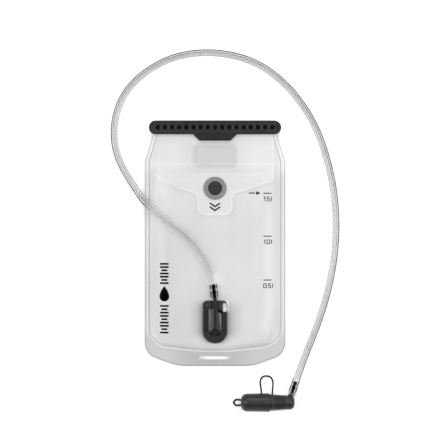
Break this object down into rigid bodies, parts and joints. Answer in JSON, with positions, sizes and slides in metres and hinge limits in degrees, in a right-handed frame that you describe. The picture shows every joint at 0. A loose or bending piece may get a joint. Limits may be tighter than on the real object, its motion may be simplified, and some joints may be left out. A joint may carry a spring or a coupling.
{
  "type": "hydration bladder",
  "caption": "Soft drinking-water pouch with a fold-over magnetic mouth, a lift-off hose connector and a capped bite valve.",
  "frame": {"origin": "bottom centre of the pouch with its neck, on the surface that it lies on", "axes": "+Y from the pouch's bottom seam to its mouth, +Z out of the side with the outlet, +X to the right as the volume marks read"},
  "size_m": [0.309, 0.4879, 0.0287],
  "materials": {
    "film": "frosted translucent film",
    "patch_film": "frosted translucent film, second layer",
    "grey_tpu": "satin translucent grey",
    "soft_seal": "soft matte",
    "matte_black": "matte",
    "gloss_black": "gloss",
    "black_rubber": "satin",
    "silicone": "satin",
    "clear_plastic": "satin translucent",
    "clear_hose": "clear gloss",
    "magnet": "dark coated",
    "spring_steel": "bright"
  },
  "bodies": {
    "pouch": {"front_film": "film", "back_film": "film", "front_patch": "patch_film", "slot_rim": "patch_film", "button_cup": "grey_tpu", "button_magnet": "magnet", "button_disc": "gloss_black", "port_flange": "clear_plastic", "dock_plate": "gloss_black", "dock_magnet": "magnet", "dock_rim": "gloss_black", "poppet_spring": "spring_steel"},
    "neck": {"back_neck_film": "film", "rear_strip": "matte_black", "rear_magnets": "magnet", "rear_seal": "soft_seal", "rear_pull_tab": "grey_tpu", "neck_side_seams": "film"},
    "front_lip": {"front_neck_film": "film", "neck_patch": "patch_film", "front_strip": "matte_black", "front_magnets": "magnet", "front_seal": "soft_seal", "front_tab": "gloss_black", "tab_magnet": "magnet"},
    "poppet": {"poppet": "clear_plastic"},
    "drink_line": {"plug_body": "gloss_black", "plug_skirt": "gloss_black", "plug_magnet": "magnet", "plug_oring": "soft_seal", "plug_barb": "gloss_black", "hose": "clear_hose", "elbow": "matte_black", "elbow_barb": "matte_black"},
    "bite_valve": {"valve_core": "matte_black", "elbow_oring": "soft_seal", "mouthpiece": "silicone", "tether": "black_rubber"},
    "sleeve": {"shutoff_sleeve": "black_rubber"},
    "cap": {"cap": "black_rubber", "cap_loop": "black_rubber"}
  },
  "joints": [
    {"name": "top_fold", "type": "hinge", "parent": "pouch", "child": "neck", "pos_m": [0, 0.1083, 0.01585], "axis": [1, 0, 0], "range_deg": [0, 180]},
    {"name": "mouth_open", "type": "hinge", "parent": "neck", "child": "front_lip", "pos_m": [0, 0.109, 0.0064], "axis": [-1, 0, 0], "range_deg": [-35, 0]},
    {"name": "poppet_press", "type": "slide", "parent": "pouch", "child": "poppet", "axis": [0, 0, 1], "range_m": [-0.0025, 0], "stiffness_N_per_m": 60, "springref_m": 0.004, "deforming": ["poppet_spring"]},
    {"name": "plug_lift", "type": "slide", "parent": "pouch", "child": "drink_line", "axis": [0, 0, 1], "range_m": [0, 0.03]},
    {"name": "valve_swivel", "type": "hinge", "parent": "drink_line", "child": "bite_valve", "pos_m": [0.09, -0.2139, 0.0124], "axis": [1, 0, 0], "range_deg": [-180, 180]},
    {"name": "shutoff_twist", "type": "hinge", "parent": "bite_valve", "child": "sleeve", "pos_m": [0.087, -0.2139, 0.0124], "axis": [1, 0, 0], "range_deg": [0, 90]},
    {"name": "cap_off", "type": "slide", "parent": "bite_valve", "child": "cap", "axis": [-1, 0, 0], "range_m": [0, 0.04], "deforming": ["tether"]}
  ]
}
